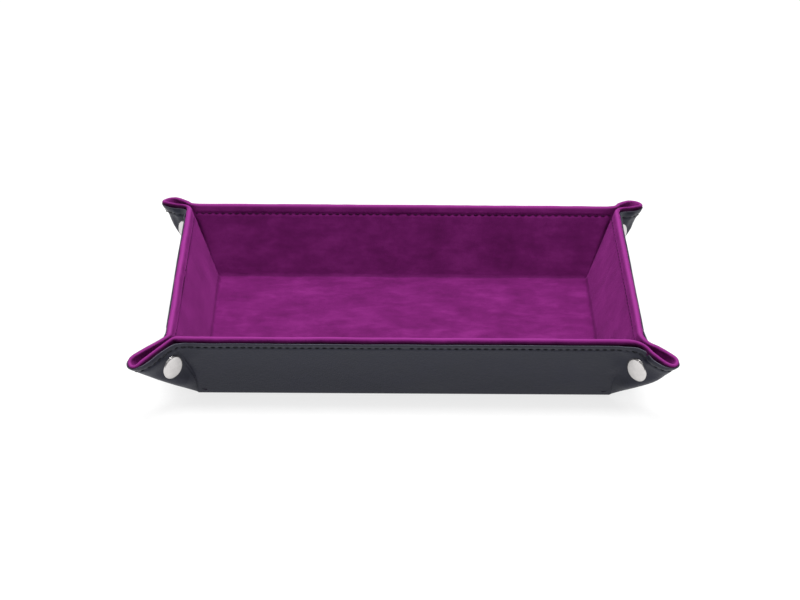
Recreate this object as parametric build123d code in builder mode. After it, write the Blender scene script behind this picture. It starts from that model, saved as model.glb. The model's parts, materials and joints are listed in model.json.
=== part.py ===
from build123d import *
from math import atan, atan2, asin, cos, sin, tan, radians, degrees, sqrt
import os

# A folding dice tray, snapped up for play.
# A flat sheet (cover outside, board in the middle, lining inside) folds up along four creases.
# At each corner the spare square of sheet is pinched into an ear of two flaps, held by a snap.
# +Z is up, +X runs along the long side, and the origin is the middle of the underside.

# ---- the flat sheet ----
sheet_length = 300.0
sheet_width = 210.0
wall_slant = 42.5            # from the floor crease to the rim, measured up the wall
wall_angle = 68.0            # between a raised wall and the table
sheet_corner_radius = 5.0

# ---- layers, from the outside in ----
cover_thickness = 1.0
board_thickness = 1.4
wall_lining_thickness = 1.7
flap_lining_thickness = 1.9
flap_face_gap = 0.15         # from a flap's lined face to the middle of its ear

# ---- clearances between pieces that fold ----
crease_gap = 0.3
corner_gap = 0.35
open_side_gap = 0.8          # the short flap is not joined to its wall, so it clears it
fold_gap = 0.35
flap_base_cut = 6.0          # the flaps start this far from the corner of the floor
board_rim_inset = 1.0
board_side_inset = 2.0
floor_corner_cut = 2.0

# ---- seam thread, sunk flush into the faces ----
seam_from_rim = 4.0
seam_width = 0.9
seam_depth = 0.4
seam_end_margin = 3.0
thread_play = 0.05

# ---- snaps ----
snap_along_fold = 30.0       # from the corner of the floor, along the ear's fold
snap_from_fold = 10.5
cap_diameter = 13.0
cap_rim_height = 0.7
cap_height = 2.9
post_diameter = 3.0
post_hole_diameter = 3.2
lining_hole_diameter = 11.2
socket_diameter = 10.5
socket_thickness = 1.7
socket_bore_radius = 2.35
socket_bore_depth = 1.45
stud_flange_diameter = 9.5
stud_flange_thickness = 0.9
stud_hub_diameter = 6.2
stud_ball_radius = 2.15
stud_reach = 1.35            # past the middle of the ear, into the socket
stud_edge_radius = 0.5
snap_seat_gap = 0.1

# ---- sizes that follow ----
crease_x = sheet_length / 2 - wall_slant
crease_y = sheet_width / 2 - wall_slant
wall_thickness = cover_thickness + board_thickness + wall_lining_thickness
flap_thickness = cover_thickness + flap_lining_thickness
ear_half = flap_thickness + flap_face_gap
corner_shift = ear_half * sqrt(2)
lean = radians(wall_angle)
side_angle = atan(cos(lean))             # a wall's slanted end, in the flat sheet
end_rise = atan2(sin(lean), sqrt(2) * cos(lean))
bevel_rate = tan(lean / 2)               # how far a layer is held back per mm of depth

layers = {
    "cover": (0.0, cover_thickness),
    "board": (cover_thickness, cover_thickness + board_thickness),
    "lining": (cover_thickness + board_thickness, wall_thickness),
}
walls = {
    "front": (0, -1),
    "back": (0, 1),
    "left": (-1, 0),
    "right": (1, 0),
}
corners = {
    "front_left": (-1, -1),
    "front_right": (1, -1),
    "back_left": (-1, 1),
    "back_right": (1, 1),
}


def save(builder, name):
    builder.part.label = name
    export_step(builder.part, f"parts/{name}.step")


def crease_inset(layer):
    """How far a layer stops short of a floor crease, so that the folded layers clear each other."""
    return layers[layer][1] * bevel_rate + crease_gap


def wall_plane(way):
    """The outer face of a raised wall: x up the slope, y along the crease, z into the tray."""
    out_x, out_y = way
    slope = (out_x * cos(lean), out_y * cos(lean), sin(lean))
    inward = (-out_x * sin(lean), -out_y * sin(lean), cos(lean))
    return Plane(origin=(out_x * crease_x, out_y * crease_y, 0), x_dir=slope, z_dir=inward)


def wall_half_length(way, height):
    """Half the wall's length, at a height measured up its slope."""
    crease = crease_x if way[0] == 0 else crease_y
    return crease - corner_shift + height * tan(side_angle)


def wall_outline(way, layer):
    """The trapezoid of one layer of a wall, in the wall's own plane."""
    low = crease_inset(layer)
    high = wall_slant
    side = corner_gap if way[0] == 0 else open_side_gap
    if layer == "board":
        high -= board_rim_inset
        side += board_side_inset
    low_half = wall_half_length(way, low) - side / cos(side_angle)
    high_half = wall_half_length(way, high) - side / cos(side_angle)
    return [(low, -low_half), (high, -high_half), (high, high_half), (low, low_half)]


def seam_length(way):
    """The straight run of stitching along a wall's rim."""
    return 2 * (wall_half_length(way, wall_slant - seam_from_rim) - seam_end_margin)


def flap_plane(corner, on_long_wall):
    """The outer face of a flap: x up its joint with the wall, z towards the middle of the ear."""
    side_x, side_y = corner
    turn = 1 if on_long_wall else -1
    back_x = corner_shift if on_long_wall else 0
    back_y = 0 if on_long_wall else corner_shift
    origin = (side_x * (crease_x - back_x), side_y * (crease_y - back_y), 0)
    along = (side_x * cos(lean), side_y * cos(lean), sin(lean))
    inward = (turn * side_x, -turn * side_y, 0)
    return Plane(origin=origin, x_dir=along, z_dir=inward)


def flap_side(corner, on_long_wall):
    """Which way the ear's fold lies from the flap's joint: 1 or -1 along the plane's y."""
    way = -1 if on_long_wall else 1
    return way * corner[0] * corner[1]


def on_flap(across, out, side):
    """A point of the flat sheet, across and out from the corner of the creases, on a flap's plane."""
    from_joint = across + corner_shift
    up = from_joint * sin(side_angle) + out * cos(side_angle)
    over = from_joint * cos(side_angle) - out * sin(side_angle)
    return (up, side * over)


def flap_outline(side, joint_gap):
    """The points of a flap: base, joint side, rim, round corner and fold side."""
    arc_centre = wall_slant - sheet_corner_radius
    skew = asin(fold_gap / sheet_corner_radius)
    joint_shift = joint_gap / cos(side_angle) - corner_shift
    rise = flap_base_cut * cos(side_angle)
    base_joint = on_flap(joint_shift + rise * tan(side_angle), rise, side)
    rim_joint = on_flap(joint_shift + wall_slant * tan(side_angle), wall_slant, side)
    rim_end = on_flap(arc_centre, wall_slant, side)
    mid_angle = radians(67.5) + skew / 2
    fold_angle = radians(45) + skew
    bend = on_flap(
        arc_centre + sheet_corner_radius * cos(mid_angle),
        arc_centre + sheet_corner_radius * sin(mid_angle),
        side,
    )
    tip = on_flap(
        arc_centre + sheet_corner_radius * cos(fold_angle),
        arc_centre + sheet_corner_radius * sin(fold_angle),
        side,
    )
    base_fold = on_flap(
        (flap_base_cut - fold_gap) / sqrt(2),
        (flap_base_cut + fold_gap) / sqrt(2),
        side,
    )
    return base_joint, rim_joint, rim_end, bend, tip, base_fold


def snap_place(side):
    across = (snap_along_fold - snap_from_fold) / sqrt(2)
    out = (snap_along_fold + snap_from_fold) / sqrt(2)
    return on_flap(across, out, side)


def flap_seam_ends(joint_gap):
    """How far across from the corner of the creases a flap's stitching starts and ends."""
    out = wall_slant - seam_from_rim
    start = out * tan(side_angle) + joint_gap + seam_width - corner_shift
    return start, out - seam_end_margin


def flap_seam_outline(side, joint_gap, play):
    """The narrow rectangle of a flap's stitching, parallel to its rim."""
    start, end = flap_seam_ends(joint_gap)
    centre = on_flap((start + end) / 2, wall_slant - seam_from_rim, side)
    turn = side * (90 - degrees(side_angle))
    with Locations(centre):
        Rectangle(end - start + 2 * play, seam_width + 2 * play, rotation=turn)


def build_floor():
    for layer, (low, high) in layers.items():
        inset = crease_inset(layer)
        with BuildPart() as floor:
            with BuildSketch(Plane.XY.offset(low)) as outline:
                Rectangle(2 * (crease_x - inset), 2 * (crease_y - inset))
                chamfer(outline.vertices(), floor_corner_cut)
            extrude(amount=high - low)
        save(floor, f"floor_{layer}")


def build_wall_layer(name, way, layer):
    low, high = layers[layer]
    plane = wall_plane(way)
    with BuildPart() as panel:
        with BuildSketch(plane.offset(low)):
            with BuildLine():
                Polyline(*wall_outline(way, layer), close=True)
            make_face()
        extrude(amount=high - low)
        if layer != "board":
            groove = low if layer == "cover" else high - seam_depth
            with BuildSketch(plane.offset(groove)):
                with Locations((wall_slant - seam_from_rim, 0)):
                    Rectangle(seam_width + 2 * thread_play, seam_length(way) + 2 * thread_play)
            extrude(amount=seam_depth, mode=Mode.SUBTRACT)
    save(panel, f"{name}_wall_{layer}")


def build_wall_seam(name, way):
    plane = wall_plane(way)
    with BuildPart() as seam:
        for low in (0.0, wall_thickness - seam_depth + thread_play):
            with BuildSketch(plane.offset(low)):
                with Locations((wall_slant - seam_from_rim, 0)):
                    Rectangle(seam_width, seam_length(way))
            extrude(amount=seam_depth - thread_play)
    save(seam, f"{name}_wall_seam_thread")


def build_flap_layer(name, corner, on_long_wall, layer):
    plane = flap_plane(corner, on_long_wall)
    side = flap_side(corner, on_long_wall)
    joint_gap = corner_gap if on_long_wall else open_side_gap
    low = 0.0 if layer == "cover" else cover_thickness
    high = cover_thickness if layer == "cover" else flap_thickness
    hole = post_hole_diameter if layer == "cover" else lining_hole_diameter
    base_joint, rim_joint, rim_end, bend, tip, base_fold = flap_outline(side, joint_gap)
    with BuildPart() as flap:
        with BuildSketch(plane.offset(low)):
            with BuildLine():
                Line(base_joint, rim_joint)
                Line(rim_joint, rim_end)
                ThreePointArc(rim_end, bend, tip)
                Line(tip, base_fold)
                Line(base_fold, base_joint)
            make_face()
            with Locations(snap_place(side)):
                Circle(hole / 2, mode=Mode.SUBTRACT)
        extrude(amount=high - low)
        if layer == "cover":
            with BuildSketch(plane):
                flap_seam_outline(side, joint_gap, thread_play)
            extrude(amount=seam_depth, mode=Mode.SUBTRACT)
    save(flap, f"{name}_{layer}")


def build_flap_seam(name, corner, on_long_wall):
    side = flap_side(corner, on_long_wall)
    joint_gap = corner_gap if on_long_wall else open_side_gap
    with BuildPart() as seam:
        with BuildSketch(flap_plane(corner, on_long_wall)):
            flap_seam_outline(side, joint_gap, 0)
        extrude(amount=seam_depth - thread_play)
    save(seam, f"{name}_seam_thread")


def snap_plane(corner, on_long_wall):
    """The snap's own plane on a flap: origin at the snap on the outer face, z into the ear."""
    plane = flap_plane(corner, on_long_wall)
    across, up = snap_place(flap_side(corner, on_long_wall))
    return Plane(
        origin=plane.from_local_coords((across, up, 0)),
        x_dir=plane.x_dir,
        z_dir=plane.z_dir,
    )


def build_cap(name, plane):
    """A domed metal cap on the outer face, with the post that goes through the cover."""
    radius = cap_diameter / 2
    outward = -plane.z_dir
    section = Plane(origin=plane.origin, x_dir=plane.x_dir, z_dir=plane.x_dir.cross(outward))
    with BuildPart() as cap:
        with BuildSketch(section):
            with BuildLine():
                Polyline((0, cap_height), (0, 0), (radius, 0), (radius, cap_rim_height))
                TangentArc((0, cap_height), (radius, cap_rim_height), tangent=(1, 0))
            make_face()
        revolve(axis=Axis(plane.origin, outward))
        with BuildSketch(plane):
            Circle(post_diameter / 2)
        extrude(amount=cover_thickness)
    save(cap, name)


def build_socket(name, plane):
    """The springy half of the snap, in the lining of the long flap, open towards the stud."""
    seat = cover_thickness + snap_seat_gap
    mouth = seat + socket_thickness
    with BuildPart() as socket:
        with BuildSketch(plane.offset(seat)):
            Circle(socket_diameter / 2)
        extrude(amount=socket_thickness)
        with BuildSketch(plane.offset(mouth - socket_bore_depth)):
            Circle(socket_bore_radius)
        extrude(amount=socket_bore_depth, mode=Mode.SUBTRACT)
    save(socket, name)


def build_stud(name, plane):
    """The stud half of the snap, in the lining of the short flap, reaching into the socket."""
    seat = cover_thickness + snap_seat_gap
    shoulder = flap_thickness - snap_seat_gap
    with BuildPart() as stud:
        with BuildSketch(plane.offset(seat)):
            Circle(stud_flange_diameter / 2)
        extrude(amount=stud_flange_thickness)
        with BuildSketch(plane.offset(seat)):
            Circle(stud_hub_diameter / 2)
        extrude(amount=shoulder - seat)
        with BuildSketch(plane.offset(seat)):
            Circle(stud_ball_radius)
        extrude(amount=ear_half + stud_reach - seat)
        fillet(stud.faces().sort_by(Axis(plane.origin, plane.z_dir))[-1].edges(), stud_edge_radius)
    save(stud, name)


os.makedirs("parts", exist_ok=True)

build_floor()

for wall_name, wall_way in walls.items():
    for wall_layer in layers:
        build_wall_layer(wall_name, wall_way, wall_layer)
    build_wall_seam(wall_name, wall_way)

for corner_name, corner_way in corners.items():
    for flap_name, is_long in (("long_flap", True), ("short_flap", False)):
        full_name = f"{corner_name}_{flap_name}"
        for flap_layer in ("cover", "lining"):
            build_flap_layer(full_name, corner_way, is_long, flap_layer)
        build_flap_seam(full_name, corner_way, is_long)
    long_snap = snap_plane(corner_way, True)
    short_snap = snap_plane(corner_way, False)
    build_cap(f"{corner_name}_snap_cap", long_snap)
    build_socket(f"{corner_name}_snap_socket", long_snap)
    build_stud(f"{corner_name}_snap_stud", short_snap)
    build_cap(f"{corner_name}_snap_back_cap", short_snap)
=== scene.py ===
import json
import math

import bmesh
import bpy
import numpy as np
from mathutils import Matrix, Vector, noise

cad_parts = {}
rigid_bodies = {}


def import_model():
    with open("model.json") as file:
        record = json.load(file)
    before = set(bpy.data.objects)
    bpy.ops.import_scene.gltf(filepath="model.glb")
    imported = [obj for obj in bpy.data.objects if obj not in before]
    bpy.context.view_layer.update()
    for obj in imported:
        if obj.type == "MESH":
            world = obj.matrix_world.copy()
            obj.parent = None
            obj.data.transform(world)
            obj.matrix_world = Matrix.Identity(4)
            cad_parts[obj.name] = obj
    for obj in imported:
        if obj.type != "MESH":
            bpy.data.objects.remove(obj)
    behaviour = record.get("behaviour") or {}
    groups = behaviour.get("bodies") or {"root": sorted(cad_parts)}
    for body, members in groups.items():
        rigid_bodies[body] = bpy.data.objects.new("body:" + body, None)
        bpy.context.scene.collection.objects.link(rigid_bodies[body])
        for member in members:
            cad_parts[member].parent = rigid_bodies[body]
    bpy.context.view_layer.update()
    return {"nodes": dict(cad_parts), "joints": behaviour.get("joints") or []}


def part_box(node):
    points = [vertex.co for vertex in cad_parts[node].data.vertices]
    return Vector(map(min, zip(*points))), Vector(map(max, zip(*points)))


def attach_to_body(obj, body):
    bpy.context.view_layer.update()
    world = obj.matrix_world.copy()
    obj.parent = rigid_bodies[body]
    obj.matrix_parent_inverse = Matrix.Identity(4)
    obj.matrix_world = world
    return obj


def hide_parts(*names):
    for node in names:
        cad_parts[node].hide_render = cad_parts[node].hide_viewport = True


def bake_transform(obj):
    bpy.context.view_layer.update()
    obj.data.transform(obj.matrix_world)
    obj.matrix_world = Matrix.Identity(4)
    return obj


# The looks of a folding snap corner tray: a leather cover, a velvet lining, seams and snap caps.
# Shapes are worked out in millimetres and turned into metres when a mesh is made.

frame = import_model()
nodes = frame["nodes"]
joints = {joint["name"]: joint for joint in frame["joints"]}

MM = 0.001
HALF = math.sqrt(0.5)
CORNERS = {
    "front_left": (-1, -1),
    "front_right": (1, -1),
    "back_left": (-1, 1),
    "back_right": (1, 1),
}
WALLS = {
    "front_wall": (0, -1),
    "back_wall": (0, 1),
    "left_wall": (-1, 0),
    "right_wall": (1, 0),
}
CREASE_X = abs(joints["left_wall_fold"]["pos_m"][0]) / MM
CREASE_Y = abs(joints["front_wall_fold"]["pos_m"][1]) / MM
WALL_ANGLE = math.radians(joints["front_wall_fold"]["range_deg"][1])
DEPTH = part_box("floor_lining")[1][2] / MM
SIN_WALL = math.sin(WALL_ANGLE)
COS_WALL = math.cos(WALL_ANGLE)
SLANT = (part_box("front_wall_lining")[1][2] / MM - DEPTH * COS_WALL) / SIN_WALL
LEAN = math.sqrt(2) * COS_WALL / SIN_WALL

# The ear, in its own flat picture: r runs outward along the diagonal, z up, n across the ear.
PINCH_UP = np.array([LEAN, 1.0]) / math.hypot(LEAN, 1.0)
PINCH_OUT = np.array([PINCH_UP[1], -PINCH_UP[0]])
TURN = math.atan(COS_WALL)
RIM_WAY = math.sin(TURN) * PINCH_UP + math.cos(TURN) * PINCH_OUT
FOLD_JOINT = joints["front_right_ear_fold"]
FOLD_X = abs(FOLD_JOINT["pos_m"][0]) / MM - CREASE_X
FOLD_Y = abs(FOLD_JOINT["pos_m"][1]) / MM - CREASE_Y
FOLD_POINT = np.array([(FOLD_X + FOLD_Y) * HALF, FOLD_JOINT["pos_m"][2] / MM])
FOLD_WAY = np.array([math.hypot(*FOLD_JOINT["axis"][:2]), abs(FOLD_JOINT["axis"][2])])
FOLD_INWARD = np.array([-FOLD_WAY[1], FOLD_WAY[0]])
RIM_APPROACH = -float(RIM_WAY @ FOLD_INWARD)

BEND = 1.4              # how far from a floor crease the leather starts to round
VELVET_BEND = 1.7       # the same for the lining
VELVET_DROP = DEPTH * (1 - COS_WALL) / SIN_WALL     # the lining's crease lies this far inside the leather's
EAR_HALF = 3.2          # half the thickness of a pinched ear
EAR_OPENS = 0.42        # share of the wall height over which an ear reaches that thickness
RIM_SPREAD = 0.9        # the layers part by this much more on each side as they near the rim
VELVET_GAP = 0.12       # half the gap between the two velvet faces inside an ear
SHEET_CORNER = 9.0      # corner radius of the flat sheet
SEAM_INSET = 4.0        # the leather's seam runs this far below the rim
VELVET_SEAM_INSET = 4.2
EDGE = 0.35             # radius of the leather's rounded edge
EAR_RIM_LIFT = 0.55     # the leather's edge stands this much higher on the ears
SIDE_RIM_LIFT = 0.75    # and on the two short walls
ROLL_WALL = 1.55        # radius of the rolled velvet edge on the walls
ROLL_EAR = 1.0          # and on the ears

LEATHER_LOOP = 3.3      # radius of the leather's loop at the bottom of the ear's fold
VELVET_LOOP = 0.5       # and of the lining's
LEATHER_TURN = 1.0      # how softly the leather turns from wall to ear at the bottom
VELVET_TURN = 0.3       # and the lining
FOLD_INSET = 1.4        # the lining's fold lies this far inside the leather's
FOLD_INSET_RIM = 1.1    # and this much further near the rim
LOOP_INSET = 2.7        # the lining's loop is this much tighter at the rim
SWELL = 4.0             # the sides of an ear swell over this distance towards its loop
SWELL_RIM = 6.0         # and over this much more near the rim
SWELL_START = 6.0       # the swell starts gently, over this distance from the pinch

SNAP_ACROSS = 13.8      # place of a snap in the flat sheet, from the corner of the creases
SNAP_OUT = 28.6
DIP_RADIUS = 7.2        # the snap presses the lining down inside this radius
DIP_EDGE = 1.6
DIP_DEPTH = 0.45
PUCKER_START = (6.4, 9.5)       # the small creases round a snap come up between these distances
PUCKER_END = (15.0, 26.0)       # and fade between these
PUCKER_FOLD = (1.0, 9.0)        # they also fade this near the ear's fold
PUCKER_COUNT = 5

# What makes each corner a little different. turn: how softly the rim turns from wall to ear.
# loop: how open the fold is at the tip. inset: how far the fold sits inside its axis. draw: how much
# further the open loop draws it in at the rim. groove: how deep the pinch is. seed: for the small puckers.
HABITS = {
    "front_left": {"turn": 2.6, "loop": 5.2, "inset": 1.3, "draw": 0.6, "groove": 0.55, "seed": 3.1},
    "front_right": {"turn": 6.5, "loop": 5.5, "inset": 1.2, "draw": 3.6, "groove": 0.35, "seed": 7.7},
    "back_left": {"turn": 4.2, "loop": 5.6, "inset": 1.2, "draw": 4.4, "groove": 0.4, "seed": 12.4},
    "back_right": {"turn": 5.0, "loop": 5.9, "inset": 1.4, "draw": 4.8, "groove": 0.4, "seed": 18.9},
}


def ease(value, low, high):
    """0 below low, 1 above high, and smooth between."""
    share = min(1.0, max(0.0, (value - low) / (high - low)))
    return share * share * (3 - 2 * share)


def grown(first, last, t, start):
    """Goes smoothly from first to last between share start of the wall height and the rim."""
    return first + (last - first) * ease(t, start, 1.0)


def place(corner, r, n, z):
    """A point of a corner's own picture as a point of the tray, in millimetres."""
    side_x, side_y = CORNERS[corner]
    return np.array([
        side_x * (CREASE_X + (r + n) * HALF),
        side_y * (CREASE_Y + (r - n) * HALF),
        z,
    ])


def is_flipped(corner):
    """The way round from the long wall to the short one is opposite on two of the corners."""
    side_x, side_y = CORNERS[corner]
    return side_x * side_y > 0


def soft_noise(x, y, scale, seed):
    """Slow random height, the same for the same place in the flat sheet."""
    return noise.noise(Vector((x / scale, y / scale, seed)))


# ---- sections of the folded sheet


def rim_parting(t):
    """How much further apart an ear's layers stand at share t of the wall height, on each side."""
    return RIM_SPREAD * ease(t, 0.8, 1.0)


def leather_crease(t):
    """Where the leather is pinched at share t of the wall height, and half the ear's thickness there,
    which is nothing at the crease corner."""
    rise = min(1.0, max(0.0, (t - BEND / SLANT) / EAR_OPENS))
    half = EAR_HALF * (1 - (1 - rise) ** 2) + rim_parting(t)
    z = t * SLANT * SIN_WALL
    return np.array([LEAN * z - half, z]), half


def velvet_crease(t):
    half = VELVET_GAP * ease(t, 0.1, 0.3) + 0.8 * rim_parting(t)
    z = t * SLANT * SIN_WALL + DEPTH * COS_WALL
    r = LEAN * z - math.sqrt(2) * DEPTH / SIN_WALL - half
    return np.array([r, z]), half


def fold_distance(point):
    return float((point - FOLD_POINT) @ FOLD_INWARD)


def drawn_in(corner, t):
    """How far the open loop draws the fold in at share t of the wall height."""
    return HABITS[corner]["draw"] * ease(t, 0.55, 1.05)


def leather_shape(corner, t):
    """Crease point, half thickness, fold inset, loop radius and rim turn of the leather at height t."""
    habit = HABITS[corner]
    crease, half = leather_crease(t)
    bottom, _ = leather_crease(BEND / SLANT)
    start = fold_distance(bottom)
    inset = habit["inset"] + (start - habit["inset"]) * (1 - ease(t, BEND / SLANT, 0.5))
    loop = grown(LEATHER_LOOP, habit["loop"], t, 0.62)
    turn = grown(LEATHER_TURN, habit["turn"], t, 0.2)
    return crease, half, inset + drawn_in(corner, t), loop, turn


def velvet_shape(corner, t):
    """The same for the lining, whose fold reaches right down to the crease corner."""
    habit = HABITS[corner]
    crease, half = velvet_crease(t)
    inset = habit["inset"] + FOLD_INSET + FOLD_INSET_RIM * ease(t, 0.55, 0.9)
    loop = grown(VELVET_LOOP, habit["loop"] - LOOP_INSET, t, 0.62)
    turn = grown(VELVET_TURN, habit["turn"] * 0.9, t, 0.15)
    return crease, half, inset + drawn_in(corner, t), loop, turn


WALL_STEPS = 34
TURN_STEPS = 8
SIDE_STEPS = 16
LOOP_STEPS = 10

# Columns of a corner's grid, which runs from the long wall round the ear to the short wall.
HALF_COUNT = WALL_STEPS + TURN_STEPS + 1 + SIDE_STEPS + LOOP_STEPS
FULL_COUNT = 2 * HALF_COUNT - 1
AT_TURN_MIDDLE = WALL_STEPS + TURN_STEPS // 2
AT_EAR = WALL_STEPS + TURN_STEPS
AT_FOLD = HALF_COUNT - 1
AT_SIDE = FULL_COUNT - 1 - AT_TURN_MIDDLE

# Each run gives points of the ear's picture, and how far along the sheet each lies past the pinch.


def wall_run(crease, half, turn, wall_length):
    """From the middle of the wall to where it starts to turn, closer together near the turn."""
    for i in range(WALL_STEPS):
        back = wall_length - (wall_length - turn) * (i / WALL_STEPS) ** 0.8
        yield (crease[0] - back * HALF, half + back * HALF, crease[1]), -back


def turn_run(crease, half, turn):
    """Round the pinch, from wall to ear."""
    for i in range(TURN_STEPS + 1):
        s = i / TURN_STEPS
        wall_part = turn * (1 - s) ** 2
        ear_part = turn * s ** 2
        r = crease[0] - wall_part * HALF + ear_part * RIM_WAY[0]
        z = crease[1] + ear_part * RIM_WAY[1]
        yield (r, half + wall_part * HALF, z), ear_part - wall_part


def side_run(crease, half, turn, reach, loop, t):
    """Along the side of the ear, which swells towards its loop."""
    straight = reach - loop / RIM_APPROACH
    spread = SWELL + SWELL_RIM * ease(t, 0.66, 1.0)
    for i in range(1, SIDE_STEPS + 1):
        x = turn + (straight - turn) * i / SIDE_STEPS
        beyond = (reach - x) * RIM_APPROACH - loop
        swell = (loop - half) * math.exp(-((beyond / spread) ** 2)) * ease(x, turn, turn + SWELL_START)
        yield (crease[0] + x * RIM_WAY[0], half + swell, crease[1] + x * RIM_WAY[1]), x


def loop_run(crease, reach, loop):
    """Round the loop to the outermost point of the fold."""
    for i in range(1, LOOP_STEPS + 1):
        angle = math.pi / 2 * i / LOOP_STEPS
        x = reach - loop * (1 - math.sin(angle)) / RIM_APPROACH
        yield (crease[0] + x * RIM_WAY[0], loop * math.cos(angle), crease[1] + x * RIM_WAY[1]), x


def half_section(corner, t, shape, side):
    """One level line from the middle of a wall to the outermost point of the ear's fold, with flat places.
    side is -1 for the long flap's half and 1 for the short flap's half."""
    crease, half, inset, loop, turn = shape(corner, t)
    reach = max(1e-4, (fold_distance(crease) - inset) / RIM_APPROACH)
    loop = min(loop, 0.42 * reach * RIM_APPROACH)
    turn = min(turn, 0.4 * reach)
    crease_flat = (crease[0] - half) * HALF
    wall_length = (CREASE_X if side < 0 else CREASE_Y) + crease_flat
    runs = (
        wall_run(crease, half, turn, wall_length),
        turn_run(crease, half, turn),
        side_run(crease, half, turn, reach, loop, t),
        loop_run(crease, reach, loop),
    )
    line = []
    for run in runs:
        for (r, n, z), past in run:
            line.append((place(corner, r, n * side, z), crease_flat + past))
    return line


def rounded_share(fraction):
    """How high a column reaches where the flat sheet's corner is rounded; fraction is 1 on the fold."""
    centre = SLANT - SHEET_CORNER
    if fraction <= centre / SLANT:
        return 1.0
    a = 1 + fraction * fraction
    b = -2 * centre * (1 + fraction)
    c = 2 * centre * centre - SHEET_CORNER ** 2
    return (-b + math.sqrt(b * b - 4 * a * c)) / (2 * a) / SLANT


def half_row(corner, t, shape, side, shares):
    """Half a row at share t of the height, lower where the sheet's corner is rounded."""
    side_x, side_y = CORNERS[corner]
    sections = {}
    points, flats = [], []
    for i, share in enumerate(shares):
        level = t * share
        if level not in sections:
            sections[level] = half_section(corner, level, shape, side)
        point, along = sections[level][i]
        out_x, out_y = (along, level * SLANT) if side < 0 else (level * SLANT, along)
        points.append(point)
        flats.append((side_x * (CREASE_X + out_x), side_y * (CREASE_Y + out_y)))
    return points, flats


def unit(vectors):
    return vectors / np.maximum(np.linalg.norm(vectors, axis=2, keepdims=True), 1e-9)


def corner_grid(corner, shape, levels):
    """Rows of points round a corner, from the middle of the long wall, out round the ear, to the middle
    of the short wall. Gives the points, the outward normals, the way up, and the flat places."""
    reference = half_section(corner, 1.0, shape, -1)
    shares = [rounded_share(max(0.0, flat) / SLANT) for _, flat in reference]
    rows, flats = [], []
    for t in levels:
        long_points, long_flats = half_row(corner, t, shape, -1, shares)
        short_points, short_flats = half_row(corner, t, shape, 1, shares)
        rows.append(long_points + short_points[-2::-1])
        flats.append(long_flats + short_flats[-2::-1])
    points = np.array(rows)
    up = np.gradient(points, axis=0)
    normals = np.cross(np.gradient(points, axis=1), up)
    if is_flipped(corner):
        normals = -normals
    return points, unit(normals), unit(up), np.array(flats)


def ear_share():
    """0 on the walls and 1 on the ear, for each column."""
    shares = []
    for i in range(FULL_COUNT):
        from_end = min(i, FULL_COUNT - 1 - i)
        shares.append(ease(from_end, WALL_STEPS - 1, AT_EAR + 1))
    return np.array(shares)[:, None]


EAR_SHARE = ear_share()

LOW_ROWS = 14           # rows from the crease to just below the seam
HIGH_ROWS = 16          # and from there to the rim, closer together
VELVET_START = (VELVET_DROP + VELVET_BEND) / SLANT
LEATHER_END = 1 - 1.1 / SLANT
VELVET_END = 1 - 0.3 / SLANT
EAR_LOW_ROWS = (0.02, 0.05, 0.08)   # inside an ear the lining carries on down to the crease corner


def spread_levels(start, end, seam):
    """Row heights: sparse low down, close together near the seam and the rim."""
    low = list(np.linspace(start, seam - 0.07, LOW_ROWS))
    high = list(np.linspace(seam - 0.05, end, HIGH_ROWS))
    return low + high


# ---- relief of the sheets


def seam_dent(level, seam, depth):
    """The thread pulls a groove into the material, and the edge beyond it swells a little."""
    away = (level - seam) * SLANT
    groove = -depth * math.exp(-((away / 0.7) ** 2))
    return groove + 0.25 * depth * math.exp(-(((away - 2.0) / 1.1) ** 2))


def ear_pucker(corner, flats, strength):
    """Small creases that spread from the snap over the ear."""
    seed = HABITS[corner]["seed"]
    height = np.zeros(flats.shape[:2])
    for i in range(flats.shape[0]):
        for j in range(flats.shape[1]):
            fx, fy = abs(flats[i, j, 0]) - CREASE_X, abs(flats[i, j, 1]) - CREASE_Y
            if fx < 0 or fy < 0:
                continue
            low, high = min(fx, fy), max(fx, fy)
            reach = math.hypot(low - SNAP_ACROSS, high - SNAP_OUT)
            ring = ease(reach, *PUCKER_START) * (1 - ease(reach, *PUCKER_END))
            ring *= ease(high - low, *PUCKER_FOLD)
            turn = math.atan2(high - SNAP_OUT, low - SNAP_ACROSS)
            wave = math.sin(PUCKER_COUNT * turn + seed + 0.15 * reach)
            wave += 0.6 * soft_noise(low, high, 5.0, seed)
            height[i, j] = strength * ring * wave
    return height


def snap_dip(flats):
    """The lining is pressed down under the snap's inner halves."""
    fx = np.abs(flats[:, :, 0]) - CREASE_X
    fy = np.abs(flats[:, :, 1]) - CREASE_Y
    low, high = np.minimum(fx, fy), np.maximum(fx, fy)
    reach = np.hypot(low - SNAP_ACROSS, high - SNAP_OUT)
    share = np.clip((DIP_RADIUS - reach) / DIP_EDGE, 0, 1)
    return DIP_DEPTH * share * share * (3 - 2 * share) * (low > 0)


def pinch_groove(corner, level):
    """How deep the leather is drawn in where a wall turns into the ear, for each column."""
    depth = HABITS[corner]["groove"] * ease(level, 0.03, 0.2) * (1 - 0.5 * ease(level, 0.86, 1.0))
    grooves = []
    for j in range(FULL_COUNT):
        away = min(abs(j - AT_TURN_MIDDLE), abs(j - AT_SIDE))
        grooves.append(depth * math.exp(-((away / 1.6) ** 2)))
    return grooves


def leather_edge(rim, out, up):
    """The leather's rounded edge, from the rim over the top and down behind."""
    short_side = (np.arange(FULL_COUNT) > AT_FOLD)[:, None]
    lift = EAR_RIM_LIFT * EAR_SHARE + SIDE_RIM_LIFT * (1 - EAR_SHARE) * short_side
    rows = []
    for k in range(1, 7):
        angle = math.pi * k / 6
        inward = EDGE * (1 - math.cos(angle))
        rows.append(rim - out * inward + up * (EDGE * math.sin(angle) + lift))
    for drop in (0.8, 2.0):
        rows.append(rim - out * 2 * EDGE - up * drop)
    return np.array(rows)


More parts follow.
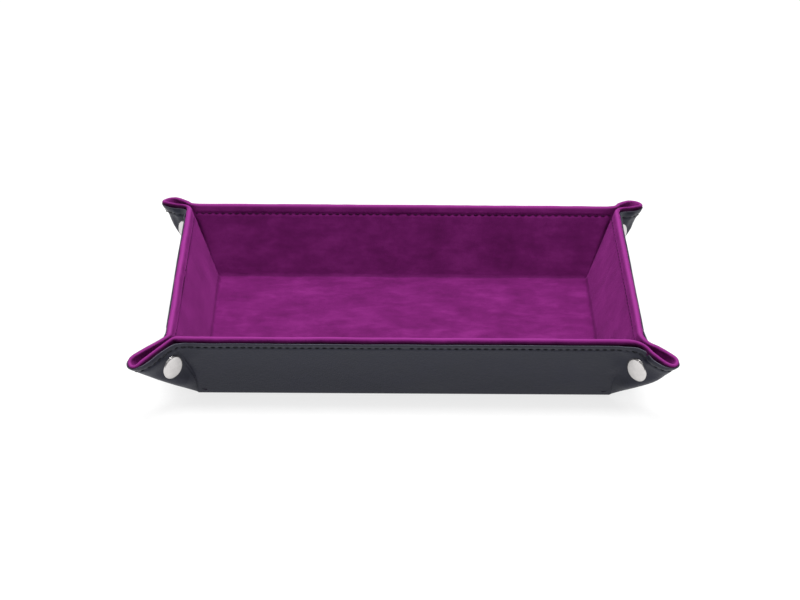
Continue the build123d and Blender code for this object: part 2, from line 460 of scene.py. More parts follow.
def velvet_roll(rim, out, up, flats):
    """The lining's rolled edge, from the rim over the top and down behind the leather's edge."""
    wobble = np.array([[1 + 0.08 * soft_noise(x, y, 6.0, 31.0)] for x, y in flats])
    roll = (ROLL_WALL + (ROLL_EAR - ROLL_WALL) * EAR_SHARE) * wobble
    rows = []
    for k in range(1, 11):
        angle = math.pi * k / 10
        rows.append(rim + out * roll * (1 - math.cos(angle)) + up * roll * math.sin(angle))
    for drop in (0.7, 1.6, 3.0):
        slip = 0.125 * drop * (1 - EAR_SHARE)
        rows.append(rim + out * (2 * roll + slip) - up * drop)
    return np.array(rows)


def with_edge(points, flats, edge, shade, light=None):
    """A whole grid: the edge's rows are added, and each row has its shade value (the leather's paler edge
    wear, the lining's painted shade) and its painted highlight.
    """
    points = np.concatenate([points, edge])
    flats = np.concatenate([flats, np.repeat(flats[-1:], len(edge), axis=0)])
    shades = np.zeros(points.shape[:2])
    lights = np.zeros(points.shape[:2])
    for i in range(len(points)):
        past_rim = i - (len(points) - len(edge))
        shades[i] = shade(past_rim)
        lights[i] = light(past_rim) if light else 0.0
    return points, flats, shades, lights


def rim_wear(past_rim):
    """The leather is paler along its rounded edge."""
    return 0.55 if 0 <= past_rim < 6 else 0.0


def painted_underside_shade(past_rim):
    """Painted shade: the underside of the lining's rolled edge is darker."""
    return min(0.85, 0.25 * max(0, past_rim - 6))


def painted_crest_highlight(past_rim):
    """Painted highlight along the top of the lining's rolled edge."""
    return math.sin(math.pi * (past_rim + 3) / 10) ** 1.5 if -2 <= past_rim < 7 else 0.0


def leather_grid(corner):
    """Points, flat places, paler edge wear and (empty) highlight values of the leather round a corner."""
    seam = 1 - SEAM_INSET / SLANT
    levels = spread_levels(BEND / SLANT, LEATHER_END, seam)
    points, normals, up, flats = corner_grid(corner, leather_shape, levels)
    pucker = ear_pucker(corner, flats, 0.42)
    for i, level in enumerate(levels):
        dent = seam_dent(level, seam, 0.32)
        away = ease(level, 0.06, 0.25)
        grooves = pinch_groove(corner, level)
        for j in range(FULL_COUNT):
            fx, fy = flats[i, j]
            slow = 0.22 * soft_noise(fx, fy, 34.0, 2.0) + 0.07 * soft_noise(fx, fy, 9.0, 5.0)
            points[i, j] += normals[i, j] * (dent + away * slow + pucker[i, j] - grooves[j])
    edge = leather_edge(points[-1], normals[-1], up[-1])
    return with_edge(points, flats, edge, rim_wear)


def velvet_grid(corner, low_rows=()):
    """The same for the lining; low_rows are extra row heights below the others."""
    seam = 1 - VELVET_SEAM_INSET / SLANT
    levels = list(low_rows) + spread_levels(VELVET_START, VELVET_END, seam)
    points, normals, up, flats = corner_grid(corner, velvet_shape, levels)
    for i, level in enumerate(levels):
        long_dent, short_dent = seam_dent(level, seam, 0.36), seam_dent(level, seam, 0.14)
        away = ease(level, 0.12, 0.3)
        for j in range(FULL_COUNT):
            fx, fy = flats[i, j]
            dent = long_dent if j <= AT_FOLD else short_dent
            slow = 0.3 * soft_noise(fx, fy, 26.0, 9.0) + 0.1 * soft_noise(fx, fy, 7.0, 4.0)
            points[i, j] -= normals[i, j] * (dent + away * slow) * (1 - EAR_SHARE[j, 0])
    points += normals * snap_dip(flats)[:, :, None]
    edge = velvet_roll(points[-1], normals[-1], up[-1], flats[-1])
    # The rolled edge gets painted shade on its underside and a painted highlight along its top.
    return with_edge(points, flats, edge, painted_underside_shade, painted_crest_highlight)


# ---- meshes


def point_values(mesh, name, values):
    """Stores one number for each point, which a material reads; None stands for zero everywhere."""
    if values is None:
        values = np.zeros(len(mesh.vertices))
    attribute = mesh.attributes.new(name, "FLOAT", "POINT")
    attribute.data.foreach_set("value", values.reshape(-1).astype(np.float32))


def smooth_piece(name, mesh, material, slot):
    for polygon in mesh.polygons:
        polygon.use_smooth = True
    mesh.materials.append(material)
    piece = bpy.data.objects.new(name, mesh)
    bpy.context.collection.objects.link(piece)
    return piece


def grid_piece(name, points, flats, material, slot, shade=None, light=None, flip=False):
    """A smooth mesh from rows of points, with the flat places as its texture map, in millimetres."""
    rows, columns = points.shape[:2]
    faces = []
    for i in range(rows - 1):
        for j in range(columns - 1):
            first = i * columns + j
            face = (first, first + 1, first + columns + 1, first + columns)
            faces.append(face[::-1] if flip else face)
    mesh = bpy.data.meshes.new(name)
    mesh.from_pydata([tuple(p * MM) for p in points.reshape(-1, 3)], [], faces)
    layer = mesh.uv_layers.new(name="flat_mm")
    flat_list = flats.reshape(-1, 2)
    for loop in mesh.loops:
        layer.data[loop.index].uv = flat_list[loop.vertex_index]
    # The first number is the leather's paler edge wear and the lining's painted shade; the second is the
    # lining's painted highlight.
    point_values(mesh, "wear_and_painted_shade", shade)
    point_values(mesh, "painted_highlight", light)
    mesh.validate()
    return smooth_piece(name, mesh, material, slot)


def finish_mesh(name, edit, material, slot):
    """A smooth piece from a mesh that is still being edited."""
    mesh = bpy.data.meshes.new(name)
    bmesh.ops.recalc_face_normals(edit, faces=edit.faces)
    edit.to_mesh(mesh)
    edit.free()
    return smooth_piece(name, mesh, material, slot)


def drop_slivers(piece):
    """Joins the points that lie on each other, where the ear starts at the crease corner."""
    edit = bmesh.new()
    edit.from_mesh(piece.data)
    bmesh.ops.remove_doubles(edit, verts=edit.verts, dist=0.00002)
    bmesh.ops.dissolve_degenerate(edit, edges=edit.edges, dist=0.00001)
    edit.to_mesh(piece.data)
    edit.free()


SHEET_SIDE = 0.01       # a sheet is counted with no side shorter than this, in metres
SHEET_FILL = 0.3        # and with at least this share of its rectangle as its area


def flat_area(flats):
    """Area of a grid's flat places, in square millimetres."""
    first = flats[1:, 1:] - flats[:-1, :-1]
    second = flats[1:, :-1] - flats[:-1, 1:]
    return float(np.abs(first[..., 0] * second[..., 1] - first[..., 1] * second[..., 0]).sum()) / 2


def declare(flats):
    """Works out the size and area of the sheet a piece of the cover or lining is cut from; nothing is kept.
    """
    low = flats.reshape(-1, 2).min(axis=0)
    high = flats.reshape(-1, 2).max(axis=0)
    width, length = np.maximum((high - low) * MM, SHEET_SIDE)
    area = min(width * length, max(SHEET_FILL * width * length, flat_area(flats) * MM * MM))


# ---- materials


class Tree:
    """Short names for building a material's nodes."""

    def __init__(self, name):
        self.material = bpy.data.materials.new(name)
        self.material.use_nodes = True
        self.nodes = self.material.node_tree.nodes
        self.links = self.material.node_tree.links
        self.shader = self.nodes["Principled BSDF"]

    def add(self, kind, **values):
        node = self.nodes.new(kind)
        for key, value in values.items():
            setattr(node, key, value)
        return node

    def link(self, source, target):
        self.links.new(source, target)

    def flat(self):
        """A place in the flat sheet, in millimetres."""
        return self.add("ShaderNodeUVMap", uv_map="flat_mm").outputs["UV"]

    def place(self):
        return self.add("ShaderNodeTexCoord").outputs["Object"]

    def noise(self, where, scale, detail=3.0, rough=0.5, stretch=None):
        if stretch is not None:
            mapping = self.add("ShaderNodeMapping")
            mapping.inputs["Scale"].default_value = stretch
            self.link(where, mapping.inputs["Vector"])
            where = mapping.outputs["Vector"]
        node = self.add("ShaderNodeTexNoise")
        node.inputs["Scale"].default_value = scale
        node.inputs["Detail"].default_value = detail
        node.inputs["Roughness"].default_value = rough
        self.link(where, node.inputs["Vector"])
        return node.outputs["Fac"]

    def cells(self, where, scale, smooth=0.6):
        node = self.add("ShaderNodeTexVoronoi", feature="SMOOTH_F1")
        node.inputs["Scale"].default_value = scale
        node.inputs["Smoothness"].default_value = smooth
        self.link(where, node.inputs["Vector"])
        return node.outputs["Distance"]

    def ramp(self, source, stops):
        node = self.add("ShaderNodeValToRGB")
        elements = node.color_ramp.elements
        for element, (position, color) in zip(elements, (stops[0], stops[-1])):
            element.position = position
            element.color = (*color, 1)
        for position, color in stops[1:-1]:
            element = elements.new(position)
            element.color = (*color, 1)
        self.link(source, node.inputs["Fac"])
        return node.outputs["Color"]

    def mix(self, share, first, second, mode="MIX"):
        node = self.add("ShaderNodeMix", data_type="RGBA", blend_type=mode)
        self.put(node.inputs[0], share)
        self.put(node.inputs[6], first)
        self.put(node.inputs[7], second)
        return node.outputs[2]

    def put(self, socket, value):
        """Links another node's output to a socket, or sets the socket's own colour or number."""
        if hasattr(value, "is_linked"):
            self.link(value, socket)
        elif isinstance(value, (tuple, list)):
            socket.default_value = (*value, 1)
        else:
            socket.default_value = value

    def maths(self, operation, first, second):
        node = self.add("ShaderNodeMath", operation=operation)
        self.put(node.inputs[0], first)
        self.put(node.inputs[1], second)
        return node.outputs[0]

    def span(self, source, low, high):
        """Stretches a number between 0 and 1 to lie between low and high."""
        node = self.add("ShaderNodeMapRange")
        node.inputs["To Min"].default_value = low
        node.inputs["To Max"].default_value = high
        self.link(source, node.inputs["Value"])
        return node.outputs["Result"]

    def bump(self, height, distance, strength=1.0, below=None):
        node = self.add("ShaderNodeBump")
        node.inputs["Distance"].default_value = distance
        node.inputs["Strength"].default_value = strength
        self.link(height, node.inputs["Height"])
        if below is not None:
            self.link(below, node.inputs["Normal"])
        return node.outputs["Normal"]

    def stored(self, name):
        """A number that the mesh stores for each point."""
        return self.add("ShaderNodeAttribute", attribute_name=name).outputs["Fac"]

    def set(self, **values):
        for key, value in values.items():
            self.put(self.shader.inputs[key.replace("_", " ")], value)


def leather_material():
    tree = Tree("charcoal_leather")
    flat = tree.flat()
    grain = tree.cells(flat, 1.5)
    fine = tree.noise(flat, 3.2, 4.0, 0.6)
    broad = tree.noise(flat, 0.045, 3.0, 0.55)
    color = tree.ramp(broad, [(0.3, (0.0058, 0.006, 0.012)), (0.7, (0.0088, 0.009, 0.0185))])
    pits = tree.ramp(grain, [(0.15, (1, 1, 1)), (0.75, (0.62, 0.62, 0.64))])
    color = tree.mix(1.0, color, pits, "MULTIPLY")
    # The leather's rounded edge is paler from wear.
    color = tree.mix(tree.stored("wear_and_painted_shade"), color, (0.05, 0.046, 0.06))
    tree.set(Base_Color=color)
    rough = tree.maths("ADD", tree.span(broad, 0.36, 0.5), tree.span(fine, -0.05, 0.06))
    tree.set(Roughness=rough, Specular_IOR_Level=0.35, Sheen_Weight=0.05, Sheen_Roughness=0.4)
    tree.set(Specular_Tint=(0.76, 0.79, 1.0), Sheen_Tint=(0.55, 0.6, 0.8))
    tree.set(Coat_Weight=0.04, Coat_Roughness=0.3)
    first = tree.bump(grain, -0.00012, 0.55)
    second = tree.bump(fine, 0.00008, 0.35, first)
    third = tree.bump(tree.noise(flat, 0.35, 3.0, 0.5), 0.0003, 0.25, second)
    tree.set(Normal=third)
    return tree.material


def velvet_material():
    tree = Tree("purple_velvet")
    flat = tree.flat()
    clouds = tree.noise(flat, 0.042, 6.0, 0.62)
    streaks = tree.noise(flat, 0.16, 5.0, 0.65, stretch=(0.45, 1.0, 1.0))
    pile = tree.noise(flat, 4.5, 3.0, 0.7)
    nap = tree.maths("ADD", tree.maths("MULTIPLY", clouds, 0.6), tree.maths("MULTIPLY", streaks, 0.4))
    color = tree.ramp(nap, [
        (0.36, (0.088, 0.0055, 0.07)),
        (0.5, (0.12, 0.0082, 0.097)),
        (0.64, (0.162, 0.0138, 0.132)),
    ])
    tufts = tree.ramp(pile, [(0.3, (0.6, 0.58, 0.6)), (0.7, (1.2, 1.2, 1.2))])
    color = tree.mix(1.0, color, tufts, "MULTIPLY")
    # Painted highlight along the top of the lining's rolled edge.
    color = tree.mix(tree.stored("painted_highlight"), color, (0.21, 0.024, 0.175))
    # Painted shade under the lining's rolled edge and along the middle of its floor creases.
    color = tree.mix(tree.stored("wear_and_painted_shade"), color, (0.014, 0.0015, 0.012))
    tree.set(Base_Color=color, Roughness=0.9, Specular_IOR_Level=0.06)
    tree.set(Sheen_Weight=0.4, Sheen_Roughness=0.3, Sheen_Tint=(0.75, 0.1, 0.64))
    first = tree.bump(pile, 0.00025, 0.6)
    second = tree.bump(nap, 0.0012, 0.35, first)
    tree.set(Normal=second)
    return tree.material


def thread_material(name, color, light):
    """Twisted thread, in two shades of its colour."""
    tree = Tree(name)
    where = tree.place()
    twist = tree.add("ShaderNodeTexWave", bands_direction="DIAGONAL")
    twist.inputs["Scale"].default_value = 900.0
    twist.inputs["Distortion"].default_value = 1.5
    tree.link(where, twist.inputs["Vector"])
    tree.set(Base_Color=tree.mix(twist.outputs["Fac"], color, light), Roughness=0.8)
    tree.set(Specular_IOR_Level=0.08)
    tree.set(Normal=tree.bump(twist.outputs["Fac"], 0.0001, 0.5))
    return tree.material


def metal_material(name, color, roughness):
    tree = Tree(name)
    where = tree.place()
    haze = tree.noise(where, 260.0, 4.0, 0.6)
    hairlines = tree.noise(where, 900.0, 2.0, 0.5, stretch=(1.0, 0.08, 0.4))
    tint = tree.ramp(haze, [(0.35, tuple(c * 0.9 for c in color)), (0.65, color)])
    tree.set(Base_Color=tint, Metallic=1.0)
    rough = tree.maths("ADD", tree.span(haze, roughness * 0.8, roughness * 1.3),
                       tree.span(hairlines, -0.02, 0.03))
    tree.set(Roughness=rough)
    tree.set(Normal=tree.bump(hairlines, 0.00001, 0.25))
    return tree.material


def board_material():
    tree = Tree("grey_board")
    where = tree.place()
    fibres = tree.noise(where, 700.0, 4.0, 0.7, stretch=(1.0, 0.4, 1.0))
    tree.set(Base_Color=tree.ramp(fibres, [(0.3, (0.2, 0.17, 0.13)), (0.7, (0.32, 0.28, 0.22))]))
    tree.set(Roughness=0.9)
    tree.set(Normal=tree.bump(fibres, 0.0001, 0.4))
    return tree.material


COVER = leather_material(), "cover_leather"      # each sheet's material and slot
LINING = velvet_material(), "velvet_lining"
THREAD_OUT = thread_material("waxed_thread_dark", (0.012, 0.012, 0.015), (0.035, 0.035, 0.042))
THREAD_IN = thread_material("waxed_thread_plum", (0.018, 0.0015, 0.016), (0.045, 0.005, 0.04))
NICKEL = metal_material("polished_nickel", (0.62, 0.6, 0.595), 0.14)
INNER_METAL = metal_material("plated_brass", (0.72, 0.69, 0.62), 0.25)
BOARD = board_material()


# ---- floor and floor creases


def level_grid(first, last, z, columns, rows):
    """A level grid from one corner to the opposite one, and its flat places."""
    x, y = np.meshgrid(np.linspace(first[0], last[0], columns + 1), np.linspace(first[1], last[1], rows + 1))
    return np.dstack([x, y, np.full_like(x, z)]), np.dstack([x, y])


def floor_grid(half_x, half_y, z, columns, rows, lift):
    """A grid over the floor; lift gives its extra height from a place and its distance to the edge."""
    points, flats = level_grid((-half_x, -half_y), (half_x, half_y), z, columns, rows)
    for row in points:
        for point in row:
            edge = min(half_x - abs(point[0]), half_y - abs(point[1]))
            point[2] += lift(point[0], point[1], edge)
    return points, flats


def leather_lift(x, y, edge):
    """The underside stands a little off the table, except at its edge."""
    return 0.12 * ease(edge, 0.0, 12.0)


def velvet_lift(x, y, edge):
    """The padded lining swells unevenly."""
    return 0.32 * ease(edge, 0.0, 9.0) * (0.35 + soft_noise(x, y, 22.0, 6.0))


def build_floor():
    points, flats = floor_grid(CREASE_X - BEND, CREASE_Y - BEND, 0.0, 90, 54, leather_lift)
    cover = grid_piece("floor_leather", points, flats, *COVER, flip=True)
    declare(flats)
    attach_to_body(cover, "tray_floor")
    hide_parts("floor_cover")
    inset = VELVET_DROP + VELVET_BEND
    points, flats = floor_grid(CREASE_X - inset, CREASE_Y - inset, DEPTH, 110, 66, velvet_lift)
    lining = grid_piece("floor_velvet", points, flats, *LINING)
    declare(flats)
    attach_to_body(lining, "tray_floor")
    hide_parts("floor_lining")


def build_corner_patches():
    """Small pieces of lining under the floor's corners, seen only when the tray lies flat."""
    inside, outside, below = 9.0, 0.5, 0.9
    for corner, (side_x, side_y) in CORNERS.items():
        first = (side_x * (CREASE_X - inside), side_y * (CREASE_Y - inside))
        last = (side_x * (CREASE_X + outside), side_y * (CREASE_Y + outside))
        points, flats = level_grid(first, last, DEPTH - below, 4, 4)
        patch = grid_piece(corner + "_patch_velvet", points, flats, *LINING, flip=not is_flipped(corner))
        declare(flats)
        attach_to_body(patch, "tray_floor")


CREASE_ROWS = 10
CREASE_COLUMNS = 70
TABS = 4                # columns added at each end of a lining strip


def tuck(point, wall, beyond, s):
    """At its ends a lining strip dives under the next wall's lining, so that the corner stays closed
    when the tray is flat. beyond counts the columns past the strip's own end."""
    out_x, out_y = WALLS[wall]
    axis, length = (0, CREASE_X) if out_y else (1, CREASE_Y)
    dive = min(1.0, beyond / 2) * 1.2
    limit = length + 0.2 + 0.3 * point[2]
    share = beyond / TABS
    point[axis] = math.copysign(abs(point[axis]) * (1 - share) + limit * share, point[axis])
    lean = WALL_ANGLE * s
    point[0] += out_x * dive * math.sin(lean)
    point[1] += out_y * dive * math.sin(lean)
    point[2] -= dive * math.cos(lean)


def crease_curve(reach, velvet):
    """Three points of the rounded crease, as (distance out from the middle of the tray, height)."""
    if velvet:
        bend, corner, base = VELVET_BEND, reach - VELVET_DROP, DEPTH
    else:
        bend, corner, base = BEND, reach, 0.0
    outs = np.array([corner - bend, corner, corner + bend * COS_WALL])
    ups = np.array([base, base, base + bend * SIN_WALL])
    return outs, ups


def crease_strip(wall, velvet):
    """The rounded strip between the floor and one wall."""
    out_x, out_y = WALLS[wall]
    length, width = (CREASE_X, CREASE_Y) if out_y else (CREASE_Y, CREASE_X)
    bend, darker, tabs = (VELVET_BEND, 0.3, TABS) if velvet else (BEND, 0.0, 0)
    ends, _ = crease_curve(length, velvet)
    outs, ups = crease_curve(width, velvet)
    columns = CREASE_COLUMNS + 2 * tabs
    points = np.zeros((CREASE_ROWS + 1, columns + 1, 3))
    flats = np.zeros((CREASE_ROWS + 1, columns + 1, 2))
    shade = np.zeros((CREASE_ROWS + 1, columns + 1))
    for i in range(CREASE_ROWS + 1):
        s = i / CREASE_ROWS
        weights = np.array([(1 - s) ** 2, 2 * s * (1 - s), s ** 2])
        end, out, up = weights @ ends, weights @ outs, weights @ ups
        flat_out = width - bend + 2 * bend * s
        # Painted shade along the middle of the lining's crease strip; the leather's strip gets none.
        shade[i] = darker * math.sin(math.pi * s) ** 2
        for j in range(columns + 1):
            along = end * max(-1.0, min(1.0, 2 * (j - tabs) / CREASE_COLUMNS - 1))
            points[i, j] = (along, out * out_y, up) if out_y else (out * out_x, along, up)
            flats[i, j] = (along, out_y * flat_out) if out_y else (out_x * flat_out, along)
            beyond = max(0, tabs - j, j - (columns - tabs))
            if beyond:
                tuck(points[i, j], wall, beyond, s)
    name, look = (wall + "_crease_velvet", LINING) if velvet else (wall + "_crease_leather", COVER)
    outward = out_y < 0 or out_x > 0
    piece = grid_piece(name, points, flats, *look, shade, flip=outward == velvet)
    declare(flats)
    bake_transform(piece)


# ---- walls and ears

LEATHER_SPREAD = 2.4    # how far either side of an ear's middle plane its leather would bend; nothing bends it
VELVET_SPREAD = 0.11    # and its lining over this


def part_names(corner):
    """What the three parts of a corner's sheets and seams are called."""
    front_back, left_right = corner.split("_")
    return {
        "wall": f"{front_back}_wall_{left_right}",
        "ear": f"{corner}_ear",
        "side": f"{left_right}_wall_{front_back}",
    }


def corner_walls(corner):
    """The long wall that carries the corner's long flap, and the side wall next to it."""
    return joints[corner + "_long_flap_fold"]["parent"], corner.split("_")[1] + "_wall"


def pinch_blend(piece, corner):
    """Bakes the piece where it stands; the pinch line and the ways onto the wall and the long flap are
    worked out but not used, so nothing bends.
    """
    joint = joints[corner + "_long_flap_fold"]
    side_x, side_y = CORNERS[corner]
    along = Vector(joint["axis"]).normalized()
    if along.z < 0:
        along = -along
    middle = Vector(joint["pos_m"]) + along * (0.7 * SLANT * MM)
    on_wall = Vector((side_x, 0, 0))
    on_wall = (on_wall - along * on_wall.dot(along)).normalized()
    on_flap = Vector((side_x * HALF, side_y * HALF, 0))
    on_flap = (on_flap - along * on_flap.dot(along)).normalized()
    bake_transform(piece)


def ear_blend(piece, corner, spread):
    """Bakes the piece where it stands; two points either side of the ear's middle plane are worked out but
    not used, so nothing bends.
    """
    out, up = 30.0, 25.0
    start = Vector(place(corner, out, -spread, up)) * MM
    finish = Vector(place(corner, out, spread, up)) * MM
    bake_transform(piece)


def attach(piece, corner, kind, spread):
    """Leaves a wall or ear part fixed where it stands, and makes a side part follow its side wall."""
    if kind == "wall":
        pinch_blend(piece, corner)
    elif kind == "ear":
        ear_blend(piece, corner, spread)
    else:
        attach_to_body(piece, corner_walls(corner)[1])


def sheet_part(name, grid, first, last, look, flip):
    """The part of a sheet between two of its grid's columns."""
    points, flats, shade, light = (values[:, first:last + 1] for values in grid)
    piece = grid_piece(name, points, flats, *look, shade, light, flip)
    drop_slivers(piece)
    declare(flats)
    return piece


def build_corner(corner, covers, linings):
    """Cuts the sheets round a corner into its wall, ear and side parts, and keeps the first of each wall."""
    long_wall, side_wall = corner_walls(corner)
    flip = is_flipped(corner)
    leather, velvet = leather_grid(corner), velvet_grid(corner)
    parts = (
        ("wall", 0, AT_EAR, velvet),
        ("ear", AT_EAR, AT_SIDE, velvet_grid(corner, EAR_LOW_ROWS)),
        ("side", AT_SIDE, FULL_COUNT - 1, velvet),
    )
    for kind, first, last, inner in parts:
        name = part_names(corner)[kind]
        cover = sheet_part(name + "_leather", leather, first, last, COVER, flip)
        lining = sheet_part(name + "_velvet", inner, first, last, LINING, not flip)
        attach(cover, corner, kind, LEATHER_SPREAD)
        attach(lining, corner, kind, VELVET_SPREAD)
        if kind == "ear":
            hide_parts(corner + "_long_flap_cover", corner + "_short_flap_cover")
            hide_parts(corner + "_long_flap_lining", corner + "_short_flap_lining")
        else:
            wall = long_wall if kind == "wall" else side_wall
            covers.setdefault(wall, cover)
            linings.setdefault(wall, lining)


# ---- seams

STITCH_PITCH = 3.8
STITCH_LENGTH = 2.7
STITCH_SINK = 0.22      # the seam's line lies this far below the surface
STITCH_LIFTS = (-0.3, 0.14, 0.24, 0.14, -0.3)   # heights of a stitch along its length
STITCH_SIDES = 7


def add_ring(edit, centre, side, other, radius, count):
    """A ring of points round centre, in the plane of side and other."""
    ring = []
    for s in range(count):
        angle = 2 * math.pi * s / count
        way = side * math.cos(angle) + other * math.sin(angle)
        ring.append(edit.verts.new((centre + way * radius) * MM))
    return ring


def join_rings(edit, rings):
    for a, b in zip(rings, rings[1:]):
        for s in range(len(a)):
            t = (s + 1) % len(a)
            edit.faces.new((a[s], a[t], b[t], b[s]))


def stitch_places(points, normals):
    """Line, surface normals and middle column of each stitch along a row."""
    steps = np.linalg.norm(np.diff(points, axis=0), axis=1)
    travelled = np.concatenate([[0], np.cumsum(steps)])
    at = STITCH_PITCH / 2
    while at + STITCH_LENGTH < travelled[-1] - 0.3:
        places = np.linspace(at, at + STITCH_LENGTH, len(STITCH_LIFTS))
        line = np.stack([np.interp(places, travelled, points[:, k]) for k in range(3)], axis=1)
        facing = np.stack([np.interp(places, travelled, normals[:, k]) for k in range(3)], axis=1)
        column = float(np.interp(at + STITCH_LENGTH / 2, travelled, np.arange(len(points))))
        yield line, facing, column
        at += STITCH_PITCH


def add_stitch(edit, line, facing, radius):
    """One raised stitch: a short thread that dives into the material at both ends."""
    last = len(STITCH_LIFTS) - 1
    rings = []
    for k, lift in enumerate(STITCH_LIFTS):
        ahead = line[min(k + 1, last)] - line[max(k - 1, 0)]
        ahead = ahead / np.linalg.norm(ahead)
        out = facing[k] / np.linalg.norm(facing[k])
        across = np.cross(ahead, out)
        centre = line[k] + out * lift
        thick = radius * (0.75 if k in (0, last) else 1.0)
        rings.append(add_ring(edit, centre, across, out, thick, STITCH_SIDES))
    join_rings(edit, rings)
    edit.faces.new(rings[0][::-1])
    edit.faces.new(rings[-1])


def seam_line(corner, shape, inset, sign):
    """The seam's line round a corner, and the way its stitches face; sign is 1 outside and -1 inside."""
    level = 1 - inset / SLANT
    step = 0.004
    points, normals, _, _ = corner_grid(corner, shape, [level - step, level, level + step])
    facing = normals[1] * sign
    return points[1] - facing * STITCH_SINK, facing


def part_at(column):
    if AT_EAR < column < AT_SIDE:
        return "ear"
    return "wall" if column <= AT_EAR else "side"


def stitch_row(corner, name, line, facing, thread, radius, spread, kinds):
    """One row of stitches round a corner, cut into the same parts as the sheets."""
    long_wall, side_wall = corner_walls(corner)
    stands_for = {
        "wall": (long_wall + "_seam_thread",),
        "ear": (corner + "_long_flap_seam_thread", corner + "_short_flap_seam_thread"),
        "side": (side_wall + "_seam_thread",),
    }
    edits = {kind: bmesh.new() for kind in kinds}
    for stitch, normals, column in stitch_places(line, facing):
        if part_at(column) in edits:
            add_stitch(edits[part_at(column)], stitch, normals, radius)
    for kind, edit in edits.items():
        piece = finish_mesh(f"{part_names(corner)[kind]}_{name}_stitches", edit, thread, "seam_thread")
        attach(piece, corner, kind, spread)
        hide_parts(*stands_for[kind])


def stitch_corner(corner):
    """The outer row of stitches, and the inner row, which stops at the ear."""
    line, facing = seam_line(corner, leather_shape, SEAM_INSET, 1.0)
    stitch_row(corner, "outer", line, facing, THREAD_OUT, 0.27, LEATHER_SPREAD, ("wall", "ear", "side"))
    line, facing = seam_line(corner, velvet_shape, VELVET_SEAM_INSET, -1.0)
    stitch_row(corner, "inner", line, facing, THREAD_IN, 0.23, VELVET_SPREAD, ("wall", "side"))


# ---- snaps

CAP_EXTRA = 0.7         # the domes stand this much higher than the plain caps they replace
CAP_STEPS = 18
CAP_SIDES = 64


def cap_profile(radius, height):
    """A pressed cap: a rolled rim, a fine step, and a smooth dome."""
    shoulder = radius - 0.55
    points = [
        (radius - 1.2, -0.25),
        (radius - 0.35, -0.2),
        (radius - 0.05, 0.05),
        (radius, 0.3),
        (radius - 0.08, 0.55),
        (radius - 0.3, 0.72),
        (shoulder, 0.78),
    ]
    for i in range(1, CAP_STEPS):
        angle = math.pi / 2 * i / CAP_STEPS
        points.append((shoulder * math.cos(angle) ** 0.9, 0.8 + (height - 0.8) * math.sin(angle)))
    return points


def lathe(edit, profile, height, base, outward):
    """Turns a profile of (radius, height) about the outward line through base, closed by a point."""
    side = outward.orthogonal().normalized()
    other = outward.cross(side)
    rings = []
    for radius, up in profile:
        rings.append(add_ring(edit, base + outward * up, side, other, radius, CAP_SIDES))
    join_rings(edit, rings)
    top = edit.verts.new((base + outward * height) * MM)
    for s in range(CAP_SIDES):
        edit.faces.new((rings[-1][s], rings[-1][(s + 1) % CAP_SIDES], top))


def build_caps():
    """A dome for each cap, on the line and at the radius of the plain one it replaces."""
    for corner in CORNERS:
        for node, body, sign in (("snap_cap", "long_flap", -1), ("snap_back_cap", "short_flap", 1)):
            low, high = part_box(f"{corner}_{node}")
            low, high = Vector(low) / MM, Vector(high) / MM
            outward = Vector(place(corner, 0, sign, 0) - place(corner, 0, 0, 0)).normalized()
            radius = (high.z - low.z) / 2
            height = (high.x - low.x - 2 * radius * HALF) / HALF
            base = (low + high) / 2 - outward * height / 2
            top = height + CAP_EXTRA
            edit = bmesh.new()
            lathe(edit, cap_profile(radius, top), top, base, outward)
            piece = finish_mesh(f"{corner}_{node}_dome", edit, NICKEL, "snap_cap_metal")
            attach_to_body(piece, f"{corner}_{body}")
            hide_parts(f"{corner}_{node}")


def paint_cad():
    """The shapes that come from the CAD as they are: the inner snap halves and the floor's hidden board."""
    for name, node in nodes.items():
        if name == "floor_board":
            node.material_slots[0].material = BOARD
        elif name.endswith(("_socket", "_stud")):
            node.material_slots[0].material = INNER_METAL


# ---- the set


def build_stage():
    size = 3.0
    below = 0.00005
    mesh = bpy.data.meshes.new("studio_floor")
    corners = [(-size, -size, -below), (size, -size, -below), (size, size, -below), (-size, size, -below)]
    mesh.from_pydata(corners, [], [(0, 1, 2, 3)])
    tree = Tree("studio_paper")
    fibre = tree.noise(tree.place(), 60.0, 3.0, 0.5)
    tree.set(Base_Color=tree.ramp(fibre, [(0.3, (0.2, 0.2, 0.2)), (0.7, (0.215, 0.215, 0.215))]))
    tree.set(Roughness=0.9, Emission_Color=(1, 1, 1), Emission_Strength=0.76)
    mesh.materials.append(tree.material)
    floor = bpy.data.objects.new("studio_floor", mesh)
    bpy.context.collection.objects.link(floor)


def build_sky():
    """A dome that is white overhead and grey near the horizon."""
    world = bpy.data.worlds.new("studio")
    world.use_nodes = True
    tree = world.node_tree
    place_on_sky = tree.nodes.new("ShaderNodeTexCoord")
    height = tree.nodes.new("ShaderNodeSeparateXYZ")
    sky = tree.nodes.new("ShaderNodeValToRGB")
    horizon, top = sky.color_ramp.elements
    horizon.position = 0.12
    horizon.color = (0.16, 0.16, 0.18, 1)
    top.position = 0.6
    top.color = (1, 1, 1, 1)
    tree.links.new(place_on_sky.outputs["Generated"], height.inputs["Vector"])
    tree.links.new(height.outputs["Z"], sky.inputs["Fac"])
    background = tree.nodes["Background"]
    tree.links.new(sky.outputs["Color"], background.inputs["Color"])
    background.inputs["Strength"].default_value = 0.45
    bpy.context.scene.world = world


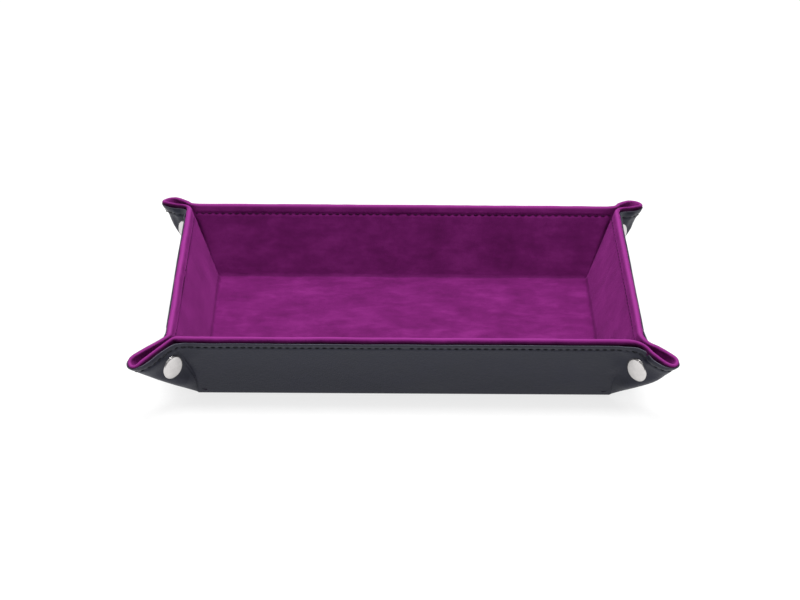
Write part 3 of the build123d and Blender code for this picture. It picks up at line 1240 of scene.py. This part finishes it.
def build_sun():
    sun = bpy.data.lights.new("overhead", "SUN")
    sun.energy = 2.3
    sun.angle = math.radians(60)
    overhead = bpy.data.objects.new("overhead", sun)
    overhead.rotation_euler = (math.radians(-13), math.radians(4), 0)
    bpy.context.collection.objects.link(overhead)


def soft_light(name, place_m, size, power):
    """A rectangular light aimed at the middle of the tray."""
    aim = Vector((0, 0, 0.02))
    lamp = bpy.data.lights.new(name, "AREA")
    lamp.shape = "RECTANGLE"
    lamp.size, lamp.size_y = size
    lamp.energy = power
    light = bpy.data.objects.new(name, lamp)
    light.location = place_m
    light.rotation_mode = "QUATERNION"
    light.rotation_quaternion = (Vector(place_m) - aim).to_track_quat("Z", "Y")
    bpy.context.collection.objects.link(light)


def build_lights():
    build_sky()
    build_sun()
    soft_light("key", (0.0, 0.0, 0.75), (0.42, 0.32), 5.6)
    soft_light("front", (0.0, -0.9, 0.9), (0.8, 0.25), 0.8)
    bpy.context.scene.view_settings.view_transform = "Standard"


def build_camera():
    azimuth, elevation, roll = (math.radians(angle) for angle in (-0.7, 28.9, 0.7))
    distance = 1.249
    target = Vector((-0.00213, 0.0, 0.02195))
    ground = math.cos(elevation)
    back = Vector((math.sin(azimuth) * ground, -math.cos(azimuth) * ground, math.sin(elevation)))
    right = Vector((0, 0, 1)).cross(back).normalized()
    up = back.cross(right)
    turned_right = right * math.cos(roll) + up * math.sin(roll)
    turned_up = up * math.cos(roll) - right * math.sin(roll)
    camera = bpy.data.cameras.new("camera")
    camera.lens = 103.5
    camera.sensor_width = 36.0
    camera.clip_start = 0.01
    camera.clip_end = 20.0
    eye = bpy.data.objects.new("camera", camera)
    turn = Matrix((turned_right, turned_up, back)).transposed().to_4x4()
    eye.matrix_world = Matrix.Translation(target + back * distance) @ turn
    bpy.context.collection.objects.link(eye)
    bpy.context.scene.camera = eye


build_camera()
build_stage()
build_lights()
build_floor()
build_corner_patches()
for wall in WALLS:
    crease_strip(wall, False)
    crease_strip(wall, True)
covers, linings = {}, {}
for corner in CORNERS:
    build_corner(corner, covers, linings)
    stitch_corner(corner)
for wall in WALLS:
    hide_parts(wall + "_cover", wall + "_board")
    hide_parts(wall + "_lining")
build_caps()
paint_cad()
